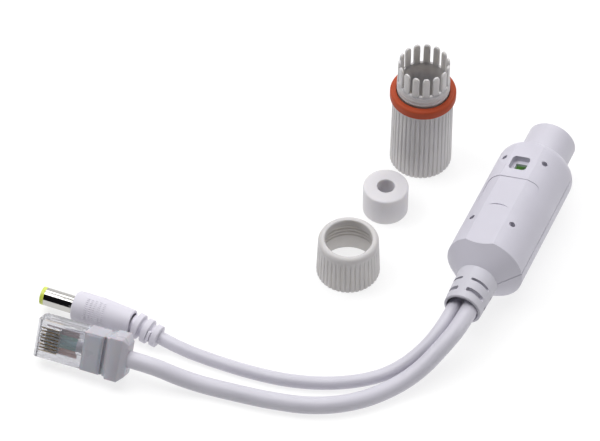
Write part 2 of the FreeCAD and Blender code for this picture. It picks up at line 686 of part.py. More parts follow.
def whole_route(x, leads, middle, end, way):
    """Exit from the strain relief, its straight lead, the hand-chosen points and the plug's lead."""
    start = cord_start(x)
    first = (start[0], start[1] - leads[0], start[2])
    last = tuple(e + leads[1] * w for e, w in zip(end, way))
    return [start, first] + list(middle) + [last, end]


# ---------------------------------------------------------------- DC plug
def in_dc_plug(shape):
    """From the plug's own frame, +X from tip to cord, to its place on the plane."""
    shape = shape.copy()
    shape.rotate(V(0, 0, 0), V(0, 0, 1), DC_AZIMUTH)
    shape.translate(V(DC_TIP[0], DC_TIP[1], GRIP_R))
    return shape


def dc_tail_way():
    """Direction in which the DC plug's ribbed tail points."""
    turn, droop = math.radians(DC_AZIMUTH + DC_TAIL_TURN), math.radians(DC_TAIL_DROOP)
    return (math.cos(droop) * math.cos(turn), math.cos(droop) * math.sin(turn), -math.sin(droop))


def dc_tail_end():
    """Centre of the end face of the DC plug's ribbed tail."""
    neck, turn = BARREL_VISIBLE + GRIP_LENGTH, math.radians(DC_AZIMUTH)
    start = (DC_TIP[0] + neck * math.cos(turn), DC_TIP[1] + neck * math.sin(turn), GRIP_R)
    return tuple(s + DC_TAIL_LENGTH * w for s, w in zip(start, dc_tail_way()))


def make_dc_plug():
    seat_end = BARREL_VISIBLE + BARREL_SEATED
    sleeve = rod(BARREL_R, (TIP_RING_LENGTH, 0, 0), (BARREL_VISIBLE, 0, 0))
    sleeve = sleeve.fuse(rod(SEAT_R, (BARREL_VISIBLE - 1, 0, 0), (seat_end, 0, 0)))
    sleeve = sleeve.cut(rod(SLEEVE_BORE_R, (0, 0, 0), (seat_end + 1, 0, 0)))
    keep("dc_sleeve", in_dc_plug(sleeve))

    ring = rod(BARREL_R, (0, 0, 0), (TIP_RING_LENGTH, 0, 0))
    ring = ring.fuse(rod(SLEEVE_BORE_R - CLEARANCE, (0, 0, 0), (seat_end, 0, 0)))
    ring = ring.cut(rod(CENTRE_R + CLEARANCE, (-1, 0, 0), (seat_end + 1, 0, 0)))
    keep("dc_tip_insulator", in_dc_plug(ring))

    contact = rod(CENTRE_R, (CENTRE_START, 0, 0), (seat_end, 0, 0))
    contact = contact.cut(rod(CENTRE_BORE_R, (0, 0, 0), (seat_end - CENTRE_FLOOR, 0, 0)))
    keep("dc_inner_contact", in_dc_plug(contact))

    grip_end = BARREL_VISIBLE + GRIP_LENGTH
    shoulder = BARREL_VISIBLE + GRIP_STRAIGHT
    grip = rod(GRIP_R, (BARREL_VISIBLE, 0, 0), (shoulder, 0, 0))
    front = [e for e in grip.Edges if abs(e.CenterOfMass.x - BARREL_VISIBLE) < 1e-3]
    grip = grip.makeFillet(GRIP_EDGE_R, front)
    grip = grip.fuse(cone(GRIP_R, GRIP_NECK_R, (shoulder, 0, 0), (grip_end, 0, 0)))
    grip = grip.cut(rod(SEAT_R + CLEARANCE, (0, 0, 0), (seat_end, 0, 0)))
    keep("dc_grip", in_dc_plug(one_solid(grip)))

    tail = rod(DC_CORD_R + DC_TAIL_WALL, (-1, 0, 0), (DC_TAIL_LENGTH, 0, 0))
    pitch = DC_TAIL_LENGTH / len(DC_TAIL_RIBS)
    for i, radius in enumerate(DC_TAIL_RIBS):
        start = i * pitch + DC_RIB_GAP
        rib = rod(radius, (start, 0, 0), (start + pitch - DC_RIB_GAP - CLEARANCE, 0, 0))
        rib = rib.makeFillet(DC_RIB_EDGE_R, [e for e in rib.Edges if len(e.Vertexes) == 1])
        tail = tail.fuse(rib)
    tail.rotate(V(0, 0, 0), V(0, 1, 0), DC_TAIL_DROOP)
    tail.rotate(V(0, 0, 0), V(0, 0, 1), DC_TAIL_TURN)
    tail.translate(V(grip_end, 0, 0))
    tail = tail.cut(box(grip_end - BIG, grip_end, -BIG, BIG, -BIG, BIG))
    keep("dc_strain_relief", in_dc_plug(one_solid(tail)))


# ---------------------------------------------------------------- RJ45 plug
def in_rj45(shape):
    """From the plug's own frame, +X from nose to cord and +Z out of the contact face."""
    shape = shape.copy()
    shape.rotate(V(0, 0, 0), V(1, 0, 0), PLUG_ROLL)
    shape.rotate(V(0, 0, 0), V(0, 0, 1), PLUG_AZIMUTH)
    shape.translate(V(PLUG_NOSE[0], PLUG_NOSE[1], PLUG_AXIS_Z))
    return shape


def rj45_point(x, y, z):
    """A point of the RJ45 plug's own frame where the plug lies."""
    r, a = math.radians(PLUG_ROLL), math.radians(PLUG_AZIMUTH)
    side = y * math.cos(r) - z * math.sin(r)
    up = y * math.sin(r) + z * math.cos(r)
    return (PLUG_NOSE[0] + x * math.cos(a) - side * math.sin(a),
            PLUG_NOSE[1] + x * math.sin(a) + side * math.cos(a), PLUG_AXIS_Z + up)


def make_rj45_plug():
    wide, high = PLUG_WIDTH / 2, PLUG_HEIGHT / 2
    body = box(0, PLUG_LENGTH, -wide, wide, -high, high)
    nose = [e for e in body.Edges if abs(e.CenterOfMass.x) < 1e-6 and abs(e.CenterOfMass.z) > high - 0.1]
    body = body.makeChamfer(PLUG_NOSE_CHAMFER, nose)
    blade_end = BLADE_START + BLADE_LENGTH
    slot_half = BLADE_T / 2 + CLEARANCE
    blade_low = high - BLADE_HEIGHT
    for y in contact_positions():
        body = body.cut(box(BLADE_START, blade_end, y - slot_half, y + slot_half, blade_low, high + 1))
    channel_top = blade_low - CLEARANCE
    channel_half = CONTACT_COUNT / 2 * CONTACT_PITCH + CLEARANCE
    body = body.cut(box(WIRE_START - CLEARANCE, WIRE_END, -channel_half, channel_half,
                        channel_top - CHANNEL_HEIGHT, channel_top))
    body = body.cut(rod(NET_CORD_R + CLEARANCE, (WIRE_END, 0, 0), (PLUG_LENGTH + 1, 0, 0)))
    well_half = LATCH_WIDTH / 2 + LATCH_GAP
    body = body.cut(box(LATCH_WELL_START, LATCH_LENGTH + LATCH_WELL_SPARE, -well_half, well_half,
                        -high - 1, -high + LATCH_WELL))
    keep("plug_body", in_rj45(one_solid(body)))

    blades = [box(BLADE_START + 2 * CLEARANCE, blade_end - 2 * CLEARANCE, y - BLADE_T / 2,
                  y + BLADE_T / 2, blade_low + CLEARANCE / 2, high - BLADE_SINK)
              for y in contact_positions()]
    keep("plug_contacts", in_rj45(group(blades)))

    wire_z = channel_top - CHANNEL_HEIGHT / 2
    wires = [rod(WIRE_R, (WIRE_START, y, wire_z), (WIRE_END, y, wire_z)) for y in contact_positions()]
    pairs = {"wires_orange": (0, 1), "wires_green": (2, 5), "wires_blue": (3, 4), "wires_brown": (6, 7)}
    for name, pair in pairs.items():
        keep(name, in_rj45(group([wires[i] for i in pair])))

    keep("plug_jacket_end", in_rj45(rod(NET_CORD_R, (WIRE_END, 0, 0), (PLUG_LENGTH, 0, 0))))

    latch = box(0, LATCH_LENGTH, -LATCH_WIDTH / 2, LATCH_WIDTH / 2, -LATCH_T, 0)
    latch.rotate(V(0, 0, 0), V(0, 1, 0), LATCH_RISE)
    latch.translate(V(LATCH_ROOT, 0, -high + LATCH_SINK))
    keep("plug_latch", in_rj45(latch))

    half_w, half_h = BOOT_WIDTH / 2, BOOT_HEIGHT / 2
    end = PLUG_VISIBLE + BOOT_LENGTH
    boot = box(PLUG_VISIBLE, end, -half_w, half_w, -half_h, half_h)
    rear = [e for e in boot.Edges if abs(e.CenterOfMass.x - end) < 1e-6]
    boot = boot.makeChamfer(BOOT_TAPER, rear)
    gap = CLEARANCE
    boot = boot.cut(box(0, PLUG_LENGTH + gap, -wide - gap, wide + gap, -high - gap, high + gap))
    keep("plug_boot", in_rj45(boot))


# ---------------------------------------------------------------- gland kit
def fluted(shape, base_r, top_r, height, low, high):
    """Fine upright grooves round a tapered barrel."""
    cutters = []
    for i in range(FLUTE_COUNT):
        t = 2 * math.pi * i / FLUTE_COUNT
        x, y = math.cos(t), math.sin(t)

        def at(z):
            r = base_r + (top_r - base_r) * z / height
            return (r * x, r * y, z)

        cutters.append(rod(FLUTE_R, at(low), at(high)))
    return shape.cut(cutters)


def make_gland_shell():
    step = GLAND_BARREL - GLAND_DECK
    profile = [(0, WIDE_BORE_R), (0, GLAND_BASE_R), (GLAND_BARREL, GLAND_TOP_R),
               (GLAND_BARREL, NECK_R)]
    z = GLAND_BARREL + RING_T + SOFT_GAP
    for _ in range(THREAD_TURNS):
        profile += [(z, NECK_R), (z + THREAD_STEP, NECK_R + THREAD_RISE),
                    (z + 2 * THREAD_STEP, NECK_R + THREAD_RISE), (z + 3 * THREAD_STEP, NECK_R)]
        z += THREAD_PITCH
    tip = TIP_CHAMFER
    profile += [(GLAND_HEIGHT - tip, NECK_R), (GLAND_HEIGHT, NECK_R - tip),
                (GLAND_HEIGHT, NECK_BORE_R + tip / 2), (GLAND_HEIGHT - tip / 2, NECK_BORE_R),
                (step, NECK_BORE_R), (step, WIDE_BORE_R)]
    body = turned(profile, "z")
    body = fluted(body, GLAND_BASE_R, GLAND_TOP_R, GLAND_BARREL, -1, GLAND_BARREL - FLUTE_STOP)
    slots = []
    for i in range(FINGER_COUNT):
        blade = box(0, RING_R, -FINGER_SLOT / 2, FINGER_SLOT / 2, FINGER_ROOT, GLAND_HEIGHT + 1)
        blade.rotate(V(0, 0, 0), V(0, 0, 1), FINGER_TURN + (i + 0.5) * 360.0 / FINGER_COUNT)
        slots.append(blade)
    body = body.cut(slots)
    keep("gland_shell", upright(one_solid(body), KIT_GLAND))


def make_seal_ring():
    low, high = GLAND_BARREL, GLAND_BARREL + RING_T
    c = SOFT_CHAMFER
    ring = turned([(low, RING_BORE_R), (low, RING_R - c), (low + c, RING_R), (high - c, RING_R),
                   (high, RING_R - c), (high, RING_BORE_R)], "z")
    keep("seal_ring", upright(ring, KIT_GLAND))


def make_rubber_plug():
    c = SOFT_CHAMFER
    plug = turned([(0, RUBBER_BORE_R), (0, RUBBER_R - c), (c, RUBBER_R), (RUBBER_HEIGHT - c, RUBBER_R),
                   (RUBBER_HEIGHT, RUBBER_R - c), (RUBBER_HEIGHT, RUBBER_BORE_R)], "z")
    keep("rubber_plug", upright(plug, KIT_RUBBER))


def make_gland_nut():
    top = NUT_HEIGHT
    lip = top - NUT_LIP
    profile = [(0, NUT_ROOT_R), (0, NUT_BASE_R), (top - NUT_ROUND, NUT_TOP_R)]
    for i in range(1, 4):
        t = math.radians(30.0 * i)
        profile.append((top - NUT_ROUND + NUT_ROUND * math.sin(t),
                        NUT_TOP_R - NUT_ROUND + NUT_ROUND * math.cos(t)))
    profile += [(top, NUT_MOUTH_R + NUT_CHAMFER), (top - NUT_CHAMFER, NUT_MOUTH_R),
                (lip, NUT_MOUTH_R), (lip - NUT_CHAMFER, NUT_ROOT_R)]
    z = lip - THREAD_PITCH
    for _ in range(THREAD_TURNS + 1):
        profile += [(z, NUT_ROOT_R), (z - THREAD_STEP, NUT_THREAD_R),
                    (z - 2 * THREAD_STEP, NUT_THREAD_R), (z - 3 * THREAD_STEP, NUT_ROOT_R)]
        z -= THREAD_PITCH
    body = turned(profile, "z")
    body = fluted(body, NUT_BASE_R, NUT_TOP_R, top - NUT_ROUND, -1, top - NUT_ROUND - FLUTE_STOP)
    keep("gland_nut", upright(one_solid(body), KIT_NUT))


# ---------------------------------------------------------------- build
make_shells()
make_pins()
make_socket()
make_socket_contacts()
make_board()
make_components()
make_relief()
make_tails()
make_dc_plug()
make_rj45_plug()
make_gland_shell()
make_seal_ring()
make_rubber_plug()
make_gland_nut()

boot_end = rj45_point(PLUG_VISIBLE + BOOT_LENGTH, 0, 0)
boot_turn = math.radians(PLUG_AZIMUTH)
boot_way = (math.cos(boot_turn), math.sin(boot_turn), 0)
dc_points = whole_route(DC_CORD_X, DC_LEADS, DC_ROUTE, dc_tail_end(), dc_tail_way())
net_points = whole_route(NET_CORD_X, NET_LEADS, NET_ROUTE, boot_end, boot_way)
keep("dc_cord", tube(dc_points, DC_CORD_R, "dc_cord"))
keep("network_cord", tube(net_points, NET_CORD_R, "network_cord"))

os.makedirs("parts", exist_ok=True)
for name, shape in nodes.items():
    placed = shape.copy()
    placed.translate(TO_ORIGIN)
    placed.exportStep(f"parts/{name}.step")
    print(f"{name}: {len(placed.Solids)} solids, valid {placed.isValid()}, volume {placed.Volume:.1f}")
print("origin shift", TO_ORIGIN)
for title, points in (("dc cord", dc_points), ("network cord", net_points)):
    print(title, [tuple(round(c, 2) for c in V(*p) + TO_ORIGIN) for p in points])
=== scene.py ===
import json
import math

import bmesh
import bpy
from mathutils import Matrix, Vector


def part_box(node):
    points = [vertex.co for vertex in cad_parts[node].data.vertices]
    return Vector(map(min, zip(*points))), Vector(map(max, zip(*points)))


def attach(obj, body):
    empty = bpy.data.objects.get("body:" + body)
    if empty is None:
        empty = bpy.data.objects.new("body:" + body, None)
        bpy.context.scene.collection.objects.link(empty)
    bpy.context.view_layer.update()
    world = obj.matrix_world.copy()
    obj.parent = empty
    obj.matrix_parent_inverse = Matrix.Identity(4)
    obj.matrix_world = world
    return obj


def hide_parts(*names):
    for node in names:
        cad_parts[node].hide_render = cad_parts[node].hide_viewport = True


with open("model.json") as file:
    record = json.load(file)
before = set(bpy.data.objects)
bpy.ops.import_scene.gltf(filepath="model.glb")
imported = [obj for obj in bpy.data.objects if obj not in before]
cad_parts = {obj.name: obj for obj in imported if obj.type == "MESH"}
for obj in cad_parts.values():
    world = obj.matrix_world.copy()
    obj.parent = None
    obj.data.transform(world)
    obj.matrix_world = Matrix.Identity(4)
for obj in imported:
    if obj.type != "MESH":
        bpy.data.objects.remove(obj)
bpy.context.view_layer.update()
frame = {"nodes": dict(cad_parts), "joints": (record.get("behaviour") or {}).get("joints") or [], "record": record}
MM = 0.001
NODES = frame["nodes"]
RECORD = frame["record"]
MOUNTS = {m["name"]: m for m in RECORD["mounts"]}
JOINTS = {j["name"]: j for j in frame["joints"]}


# ---------------------------------------------------------------- camera
def look_from(place, forward, up=(0, 0, 1)):
    """Matrix of a camera or lamp at a place, looking along a direction."""
    z = -Vector(forward).normalized()
    x = Vector(up).cross(z).normalized()
    y = z.cross(x)
    return Matrix.Translation(place) @ Matrix((x, y, z)).transposed().to_4x4()


CAMERA_AZIMUTH = math.radians(24.0)
CAMERA_ELEVATION = math.radians(48.5)
CAMERA_TARGET = Vector((-42.97, -15.0, 0.0)) * MM
CAMERA_DISTANCE = 0.985
CAMERA_LENS = 192.0
CAMERA_SENSOR = 36.0
CAMERA_REACH = 30.0


def add_camera():
    level = math.cos(CAMERA_ELEVATION)
    forward = Vector((-math.sin(CAMERA_AZIMUTH) * level, math.cos(CAMERA_AZIMUTH) * level,
                      -math.sin(CAMERA_ELEVATION)))
    data = bpy.data.cameras.new("camera")
    data.lens = CAMERA_LENS
    data.sensor_width = CAMERA_SENSOR
    data.clip_end = CAMERA_REACH
    camera = bpy.data.objects.new("camera", data)
    camera.matrix_world = look_from(CAMERA_TARGET - forward * CAMERA_DISTANCE, forward)
    bpy.context.scene.collection.objects.link(camera)
    bpy.context.scene.camera = camera


add_camera()


# ---------------------------------------------------------------- cords
DC_CORD_R = 2.0
NET_CORD_R = 2.6
DC_POINTS = (
    (16.63, -34.8, 11.45), (16.63, -42.5, 11.45), (14.45, -50.3, 8.3), (10.35, -56.8, 4.6),
    (5.15, -62.4, 2.3), (-1.55, -67.8, 2.05), (-10.15, -72.5, 2.05), (-21.15, -75.9, 2.05),
    (-32.65, -77.3, 2.05), (-44.65, -77.7, 2.05), (-54.1, -77.68, 2.53), (-60.9, -77.08, 3.49),
)
NET_POINTS = (
    (21.48, -34.8, 12.43), (21.48, -42.9, 12.43), (18.75, -51.4, 9.6), (14.85, -59.1, 5.3),
    (9.35, -66.5, 2.75), (1.75, -75.3, 2.65), (-9.15, -81.9, 2.65), (-21.95, -85.0, 2.65),
    (-32.05, -86.4, 2.65), (-41.25, -87.6, 2.7), (-49.15, -89.4, 4.9), (-56.05, -90.8, 7.87),
    (-63.83, -91.37, 7.87),
)


def add_cord(name, points, radius):
    """Round cord along control points; a point's radius is one millimetre, the unit of the bevel."""
    curve = bpy.data.curves.new(name, "CURVE")
    curve.dimensions = "3D"
    spline = curve.splines.new("NURBS")
    spline.points.add(len(points) - 1)
    for point, place in zip(spline.points, points):
        point.co = (*(c * MM for c in place), 1.0)
        point.radius = MM
    spline.order_u = 3
    spline.use_endpoint_u = True
    curve.resolution_u = 16
    curve.bevel_depth = radius
    curve.bevel_resolution = 8
    cord = bpy.data.objects.new(name, curve)
    bpy.context.scene.collection.objects.link(cord)
    return cord


dc_cord = add_cord("dc_cord_flex", DC_POINTS, DC_CORD_R)
net_cord = add_cord("network_cord_flex", NET_POINTS, NET_CORD_R)
for cord, node in ((dc_cord, "dc_cord"), (net_cord, "network_cord")):
    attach(cord, "injector")
    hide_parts(node)


# ---------------------------------------------------------------- frames of the pieces
def axes(origin, x, z_hint):
    """Matrix whose X is x and whose Z is as near z_hint as it can be."""
    x = Vector(x).normalized()
    y = Vector(z_hint).cross(x).normalized()
    z = x.cross(y)
    return Matrix.Translation(origin) @ Matrix((x, y, z)).transposed().to_4x4()


barrel = MOUNTS["dc_barrel"]
barrel_axis = Vector(barrel["axis"])
DC_TIP = Vector(barrel["pos_m"]) + barrel_axis * barrel["dims"]["length_mm"] / 2 * MM
DC_FRAME = axes(DC_TIP, -barrel_axis, (0, 0, 1))
BARREL = barrel["dims"]["length_mm"]

plug = MOUNTS["rj45_plug"]
PLUG_X = -Vector(plug["axis"])
PLUG_Y = -Vector(JOINTS["plug_latch_press"]["axis"])
PLUG_FRAME = axes(Vector(plug["pos_m"]), PLUG_X, PLUG_X.cross(PLUG_Y))

tail_way = (Vector(DC_POINTS[-2]) - Vector(DC_POINTS[-1])).normalized()
DC_TAIL = 9.4                # length of the ribbed tail
TAIL_FRAME = axes((Vector(DC_POINTS[-1]) - tail_way * DC_TAIL) * MM, tail_way, (0, 0, 1))


def kit_frame(node):
    """Upright frame at the middle of the foot of a kit piece."""
    low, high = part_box(node)
    return Matrix.Translation(((low[0] + high[0]) / 2, (low[1] + high[1]) / 2, low[2]))


GLAND_FRAME = kit_frame("gland_shell")
NUT_FRAME = kit_frame("gland_nut")
RUBBER_FRAME = kit_frame("rubber_plug")


# ---------------------------------------------------------------- mesh helpers
def finish_piece(name, bm, matrix, body, nodes, smooth_angle=35.0):
    """Turns millimetre geometry in a piece's own frame into a piece of the model."""
    bmesh.ops.recalc_face_normals(bm, faces=bm.faces)
    bmesh.ops.scale(bm, vec=(MM, MM, MM), verts=bm.verts)
    bm.transform(matrix)
    mesh = bpy.data.meshes.new(name)
    bm.to_mesh(mesh)
    bm.free()
    mesh.shade_smooth()
    mesh.set_sharp_from_angle(angle=math.radians(smooth_angle))
    piece = bpy.data.objects.new(name, mesh)
    bpy.context.scene.collection.objects.link(piece)
    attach(piece, body)
    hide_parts(*nodes)
    return piece


def rounded(points, radii, steps=4):
    """Polyline with each corner rounded by its radius."""
    out = []
    count = len(points)
    for i, (corner, radius) in enumerate(zip(points, radii)):
        c = Vector(corner)
        a = Vector(points[i - 1]) - c
        b = Vector(points[(i + 1) % count]) - c
        half = a.angle(b) / 2
        reach = min(radius / math.tan(half), 0.49 * a.length, 0.49 * b.length)
        start, end = c + a.normalized() * reach, c + b.normalized() * reach
        for k in range(steps + 1):
            t = k / steps
            out.append(tuple(start * (1 - t) ** 2 + c * 2 * t * (1 - t) + end * t * t))
    return out


def lathe(bm, profile, segments, axis="z", closed=True, ripple=None):
    """Surface of revolution of (station, radius) points; ripple changes the radius of a point."""
    rings = []
    for station, radius in profile:
        ring = []
        for i in range(segments):
            angle = 2 * math.pi * i / segments
            r = ripple(station, angle, radius) if ripple else radius
            u, v = r * math.cos(angle), r * math.sin(angle)
            ring.append(bm.verts.new((u, v, station) if axis == "z" else (station, u, v)))
        rings.append(ring)
    pairs = list(zip(rings, rings[1:]))
    if closed:
        pairs.append((rings[-1], rings[0]))
    for a, b in pairs:
        for i in range(segments):
            j = (i + 1) % segments
            bm.faces.new((a[i], a[j], b[j], b[i]))
    if not closed:
        for ring in (rings[0], rings[-1]):
            bm.faces.new(ring)


def loft(bm, sections):
    """Closed skin through loops of equal length."""
    loops = [[bm.verts.new(p) for p in section] for section in sections]
    count = len(loops[0])
    for a, b in zip(loops, loops[1:]):
        for i in range(count):
            j = (i + 1) % count
            bm.faces.new((a[i], a[j], b[j], b[i]))
    bm.faces.new(loops[0])
    bm.faces.new(loops[-1])


def signed_power(value, power):
    """Power that keeps the sign, to square off a circle."""
    return math.copysign(abs(value) ** power, value)


def smooth_step(edge0, edge1, value):
    """Eases from zero at one edge to one at the other."""
    t = min(max((value - edge0) / (edge1 - edge0), 0.0), 1.0)
    return t * t * (3 - 2 * t)


def angle_gap(a, b):
    """Angle between two directions, either way round."""
    return abs((a - b + math.pi) % (2 * math.pi) - math.pi)


def flutes(count, depth, high, inside):
    """Ripple of fine grooves that run out at a height, on radii beyond inside."""
    def ripple(station, angle, radius):
        if radius < inside:
            return radius
        t = (angle * count / (2 * math.pi) + 0.5) % 1.0
        groove = max(0.0, 1 - abs(t - 0.5) / (FLUTE_WIDTH / 2))
        fade = 1 - smooth_step(high - FLUTE_FADE, high, station)
        return radius - depth * math.sin(groove * math.pi / 2) ** 2 * fade
    return ripple


# ---------------------------------------------------------------- gland kit
# Millimetres and degrees, the same sizes as the CAD.
GLAND_BARREL = 27.1          # height of the fluted barrel
GLAND_DECK = 3.0             # from the wide bore to the top of the barrel
FINGER_ROOT = 34.65
FINGER_TOP = 7.43            # fingertips above their root
FINGER_ROUND = 1.35          # height over which a fingertip rounds off
FINGER_SINK = 0.8            # foot of a finger inside the neck
FINGER_SLOT = 1.0
FINGERS = 15
FINGER_TURN = 9.6
NECK_R = 7.95
NECK_BORE_R = 7.05
WIDE_BORE_R = 7.95
GLAND_BASE_R = 9.65
GLAND_TOP_R = 9.35
FLUTES = 40
FLUTE_WIDTH = 0.5            # share of the pitch
FLUTE_FADE = 1.6
FLUTE_STEPS = 10             # points round the barrel to one flute
GLAND_FLUTE_DEPTH = 0.35
NUT_FLUTE_DEPTH = 0.3
FLUTE_STOP = 0.4             # flutes end this far under the top of the barrel
RING_BORE_R = 8.25
RING_R = 10.2
RING_T = 3.2
RING_GAP = 0.3               # from the ring to the first thread
THREAD_PITCH = 1.4
THREAD_STEP = 0.35           # flank and half crest of a thread
THREAD_RISE = 0.2
THREAD_TURNS = 3
NUT_BASE_R = 9.7
NUT_TOP_R = 9.2
NUT_HEIGHT = 14.2
NUT_ROUND = 1.4
NUT_BORE_R = 8.6
NUT_THREAD_R = 8.34
NUT_MOUTH_R = 7.1
NUT_FIRST_THREAD = 10.6
RUBBER_R = 7.0
RUBBER_BORE_R = 2.68
RUBBER_HEIGHT = 10.1
SOFT_SMOOTH = 60.0           # edges flatter than this are shaded smooth
EDGE_SINK = 0.02             # a rounded foot meets the wall this far inside it


def fluted_wall(base_r, top_r, height, stations):
    """Outline of a tapered wall with a softened foot."""
    wall = [(0.0, base_r - 0.25), (0.25, base_r - EDGE_SINK)]
    return wall + [(z, base_r + (top_r - base_r) * z / height) for z in stations]


def thread(z, root_r, crest_r, turn):
    """Outline of one thread ring, rising (turn 1) or falling (turn -1) from a height."""
    step = turn * THREAD_STEP
    return [(z, root_r), (z + step, crest_r), (z + 2 * step, crest_r), (z + 3 * step, root_r)]


def finger_levels():
    """Heights of a finger's sections over its root, with their share of its width and thickness."""
    levels = [(lift, 1.0, 1.0) for lift in (-FINGER_SINK, 0.0, 2.0, 4.0, 5.7)]
    steps = 8
    for k in range(1, steps):
        t = math.radians(90.0 * k / steps)
        lift = FINGER_TOP - FINGER_ROUND + FINGER_ROUND * math.sin(t)
        levels.append((lift, math.cos(t) ** 0.8, math.cos(t) ** 0.35))
    return levels


def add_finger(bm, place):
    """One collet finger at an angle round the neck."""
    middle = (NECK_R + NECK_BORE_R) / 2
    thick = (NECK_R - NECK_BORE_R) / 2
    half_angle = (math.radians(360 / FINGERS) - FINGER_SLOT / middle) / 2
    count = 20
    sections = []
    for lift, wide, deep in finger_levels():
        loop = []
        for k in range(count):
            t = 2 * math.pi * k / count
            a = place + half_angle * wide * signed_power(math.cos(t), 0.4)
            r = middle + thick * deep * signed_power(math.sin(t), 0.5)
            loop.append((r * math.cos(a), r * math.sin(a), FINGER_ROOT + lift))
        sections.append(loop)
    loft(bm, sections)


def make_gland():
    bm = bmesh.new()
    step = GLAND_BARREL - GLAND_DECK
    stations = (1, 5, 10, 15, 20, 24, 25, 25.6, 26.2, 26.7)
    outer = fluted_wall(GLAND_BASE_R, GLAND_TOP_R, GLAND_BARREL, stations)
    outer += [(GLAND_BARREL - 0.1, GLAND_TOP_R - 0.1), (GLAND_BARREL, GLAND_TOP_R - 0.35),
              (GLAND_BARREL, NECK_R)]
    z = GLAND_BARREL + RING_T + RING_GAP
    for _ in range(THREAD_TURNS):
        outer += thread(z, NECK_R, NECK_R + THREAD_RISE, 1)
        z += THREAD_PITCH
    outer += [(FINGER_ROOT - 0.1, NECK_R), (FINGER_ROOT, NECK_R - 0.1)]
    inner = [(FINGER_ROOT, NECK_BORE_R + 0.1), (FINGER_ROOT - 0.1, NECK_BORE_R), (step, NECK_BORE_R),
             (step, WIDE_BORE_R), (0.3, WIDE_BORE_R), (0.0, WIDE_BORE_R + 0.2)]
    grooves = flutes(FLUTES, GLAND_FLUTE_DEPTH, GLAND_BARREL - FLUTE_STOP, NECK_R + 0.6)
    lathe(bm, outer + inner, FLUTES * FLUTE_STEPS, ripple=grooves)
    for i in range(FINGERS):
        add_finger(bm, math.radians(FINGER_TURN + 360.0 * i / FINGERS))
    return finish_piece("gland_shell_fluted", bm, GLAND_FRAME, "gland_shell",
                        ("gland_shell",))


def make_seal_ring():
    bm = bmesh.new()
    top = GLAND_BARREL + RING_T
    corners = [(GLAND_BARREL, RING_BORE_R), (GLAND_BARREL, RING_R), (top, RING_R), (top, RING_BORE_R)]
    lathe(bm, rounded(corners, [0.25, 0.6, 0.9, 0.25], 6), 128)
    return finish_piece("seal_ring_soft", bm, GLAND_FRAME, "seal_ring",
                        ("seal_ring",), SOFT_SMOOTH)


def make_rubber_plug():
    bm = bmesh.new()
    top = RUBBER_HEIGHT
    corners = [(0, RUBBER_BORE_R), (0, RUBBER_R), (top, RUBBER_R), (top, RUBBER_BORE_R)]
    lathe(bm, rounded(corners, [0.2, 0.35, 0.6, 0.3]), 96)
    return finish_piece("rubber_plug_soft", bm, RUBBER_FRAME, "rubber_plug",
                        ("rubber_plug",), SOFT_SMOOTH)


def make_nut():
    bm = bmesh.new()
    straight = NUT_HEIGHT - NUT_ROUND
    stations = (1, 3, 6, 8.5, 9.5, 10.3, 11.0, 11.6, 12.2, straight)
    outer = fluted_wall(NUT_BASE_R, NUT_TOP_R, straight, stations)
    for k in range(1, 7):
        t = math.radians(15.0 * k)
        outer.append((straight + NUT_ROUND * math.sin(t),
                      NUT_TOP_R - NUT_ROUND + NUT_ROUND * math.cos(t)))
    inner = [(NUT_HEIGHT, NUT_MOUTH_R + 0.35), (NUT_HEIGHT - 0.12, NUT_MOUTH_R + 0.15),
             (NUT_HEIGHT - 0.4, NUT_MOUTH_R + 0.02), (12.0, NUT_MOUTH_R), (11.5, NUT_BORE_R)]
    z = NUT_FIRST_THREAD
    for _ in range(THREAD_TURNS + 1):
        inner += thread(z, NUT_BORE_R, NUT_THREAD_R, -1)
        z -= THREAD_PITCH
    inner += [(0.3, NUT_BORE_R), (0.0, NUT_BORE_R + 0.2)]
    grooves = flutes(FLUTES, NUT_FLUTE_DEPTH, straight - 0.2, NUT_BORE_R + 0.3)
    lathe(bm, outer + inner, FLUTES * FLUTE_STEPS, ripple=grooves)
    return finish_piece("gland_nut_fluted", bm, NUT_FRAME, "gland_nut",
                        ("gland_nut",))


gland = make_gland()
seal = make_seal_ring()
rubber = make_rubber_plug()
nut = make_nut()


# ---------------------------------------------------------------- DC plug
GRIP = 18.6                  # length of the grip
GRIP_R = 4.74                # radius under the field of pads
GRIP_STRAIGHT = 8.4          # length before the grip narrows
GRIP_TAPER = 0.079           # fall of the radius to a millimetre of length after that
PAD_ROWS = 5
PAD_COLUMNS = 12
PAD_MIDDLE = 128.0           # degrees round the grip, 90 is up
PAD_SPAN = 80.0
PAD_START = 4.6
PAD_PITCH = 1.35
PAD_SIZE = (0.48, 0.19, 0.2)


def make_dc_grip():
    bm = bmesh.new()
    start, end = BARREL, BARREL + GRIP
    outline = [(start, 2.8), (start, 4.5), (start + 2.0, 4.72), (start + GRIP_STRAIGHT, 4.76),
               (start + 14.0, 4.32), (end, 3.88), (end, 2.9)]
    profile = rounded(outline, [0.2, 0.9, 3.0, 6.0, 6.0, 0.45, 0.3], 6)
    lathe(bm, profile, 96, "x")
    for row in range(PAD_ROWS):
        for column in range(PAD_COLUMNS):
            turn = PAD_MIDDLE - PAD_SPAN / 2 + PAD_SPAN * column / (PAD_COLUMNS - 1)
            angle = math.radians(turn)
            s = start + PAD_START + row * PAD_PITCH
            low = GRIP_R - GRIP_TAPER * max(s - start - GRIP_STRAIGHT, 0.0)
            out = Vector((0, math.cos(angle), math.sin(angle)))
            side = Vector((0, -math.sin(angle), math.cos(angle)))
            add_bump(bm, Vector((s, 0, 0)) + out * low, Vector((1, 0, 0)), side, out, PAD_SIZE)
    return finish_piece("dc_grip_moulded", bm, DC_FRAME, "injector", ("dc_grip",), 50.0)


